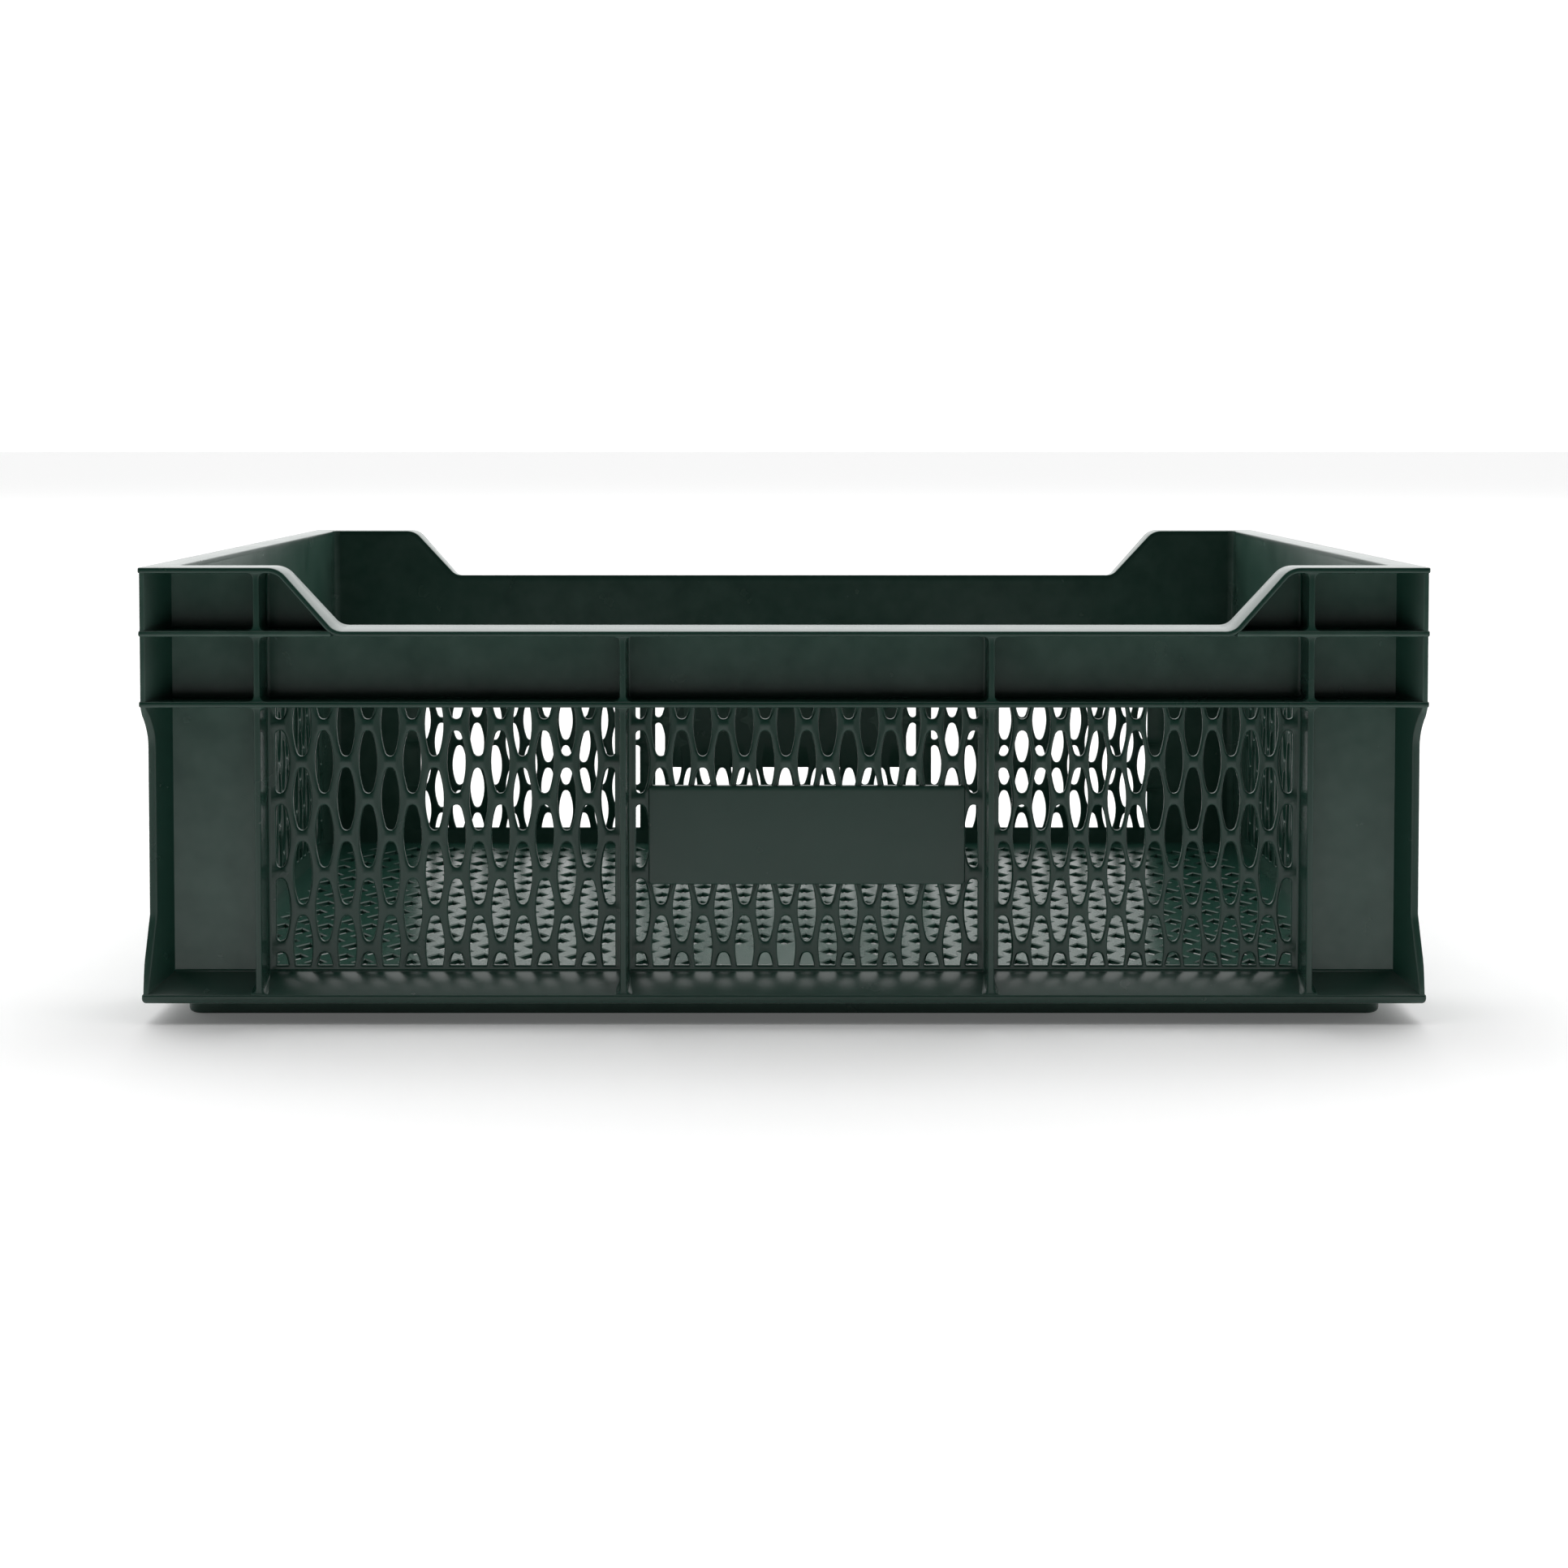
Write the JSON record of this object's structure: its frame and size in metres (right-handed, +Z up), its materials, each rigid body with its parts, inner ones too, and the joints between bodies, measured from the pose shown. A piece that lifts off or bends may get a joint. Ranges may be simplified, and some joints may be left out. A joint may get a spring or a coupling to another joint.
{
  "type": "stacking plastic crate",
  "caption": "Open-topped rectangular stacking crate with ribbed lattice walls, a lowered front and rear edge, a stacking foot and hand-holds in the ends.",
  "frame": {"origin": "centre of the foot's underside, on the surface the crate stands on", "axes": "+X along the long side, +Z up, the front with its lowered edge at -Y"},
  "size_m": [0.6, 0.4, 0.214],
  "materials": {
    "green_plastic": "semi-gloss moulded polyethylene"
  },
  "bodies": {
    "root": {"floor_grid": "green_plastic", "front_flange": "green_plastic", "front_foot": "green_plastic", "front_label_lattice": "green_plastic", "front_label_plate": "green_plastic", "front_left_corner_panel": "green_plastic", "front_left_corner_web": "green_plastic", "front_left_lattice": "green_plastic", "front_left_middle_ring": "green_plastic", "front_left_shoulder": "green_plastic", "front_lower_ribs": "green_plastic", "front_lower_ring": "green_plastic", "front_right_corner_panel": "green_plastic", "front_right_corner_web": "green_plastic", "front_right_lattice": "green_plastic", "front_right_middle_ring": "green_plastic", "front_right_shoulder": "green_plastic", "front_rim": "green_plastic", "front_upper_ribs": "green_plastic", "front_upper_wall": "green_plastic", "left_end_lattice": "green_plastic", "left_flange": "green_plastic", "left_foot": "green_plastic", "left_handle_collar": "green_plastic", "left_lower_ribs": "green_plastic", "left_lower_ring": "green_plastic", "left_rim": "green_plastic", "left_upper_ribs": "green_plastic", "left_upper_wall": "green_plastic", "rear_flange": "green_plastic", "rear_foot": "green_plastic", "rear_label_lattice": "green_plastic", "rear_label_plate": "green_plastic", "rear_left_corner_panel": "green_plastic", "rear_left_corner_web": "green_plastic", "rear_left_lattice": "green_plastic", "rear_left_middle_ring": "green_plastic", "rear_left_shoulder": "green_plastic", "rear_lower_ribs": "green_plastic", "rear_lower_ring": "green_plastic", "rear_right_corner_panel": "green_plastic", "rear_right_corner_web": "green_plastic", "rear_right_lattice": "green_plastic", "rear_right_middle_ring": "green_plastic", "rear_right_shoulder": "green_plastic", "rear_rim": "green_plastic", "rear_upper_ribs": "green_plastic", "rear_upper_wall": "green_plastic", "right_end_lattice": "green_plastic", "right_flange": "green_plastic", "right_foot": "green_plastic", "right_handle_collar": "green_plastic", "right_lower_ribs": "green_plastic", "right_lower_ring": "green_plastic", "right_rim": "green_plastic", "right_upper_ribs": "green_plastic", "right_upper_wall": "green_plastic"}
  },
  "joints": []
}
